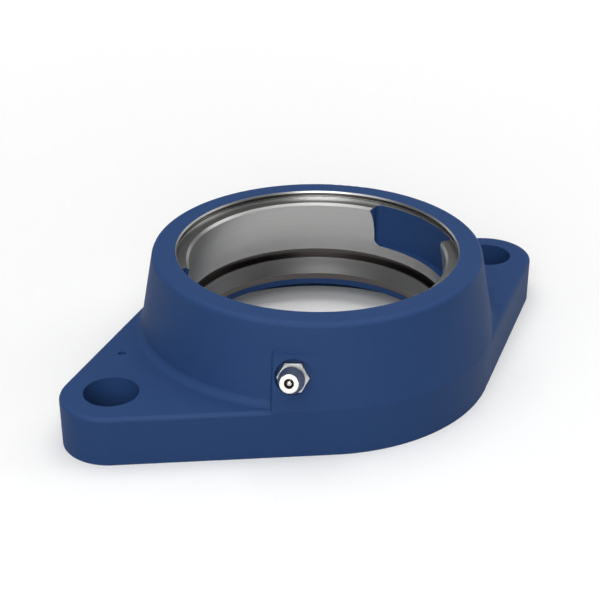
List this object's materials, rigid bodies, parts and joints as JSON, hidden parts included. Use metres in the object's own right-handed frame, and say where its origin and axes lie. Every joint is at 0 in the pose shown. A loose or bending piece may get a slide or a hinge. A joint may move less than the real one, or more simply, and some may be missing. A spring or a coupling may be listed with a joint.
{
  "type": "flanged bearing housing",
  "caption": "Cast two-bolt oval flanged housing for an insert bearing, with a spherical seat, loading slots and a grease nipple.",
  "frame": {"origin": "on the bearing axis, in the plane of the mounting face", "axes": "+Z along the bearing axis, away from the mounting face; +X along the line of the two bolt holes"},
  "size_m": [0.1558, 0.096, 0.0348],
  "materials": {
    "painted_cast_iron": "blue paint on cast iron, with a bare turned seat and rim",
    "nipple_steel": "bright zinc plate",
    "ball_steel": "polished",
    "spring_steel": "drawn wire"
  },
  "bodies": {
    "housing_body": {"housing": "painted_cast_iron", "grease_nipple_body": "nipple_steel", "ball_spring": "spring_steel"},
    "ball_body": {"check_ball": "ball_steel"}
  },
  "joints": [
    {"name": "ball_travel", "type": "slide", "parent": "housing_body", "child": "ball_body", "axis": [0.6665, 0.6665, -0.3338], "range_m": [0, 0.001], "stiffness_N_per_m": 400, "springref_m": -0.002, "deforming": ["ball_spring"]}
  ]
}
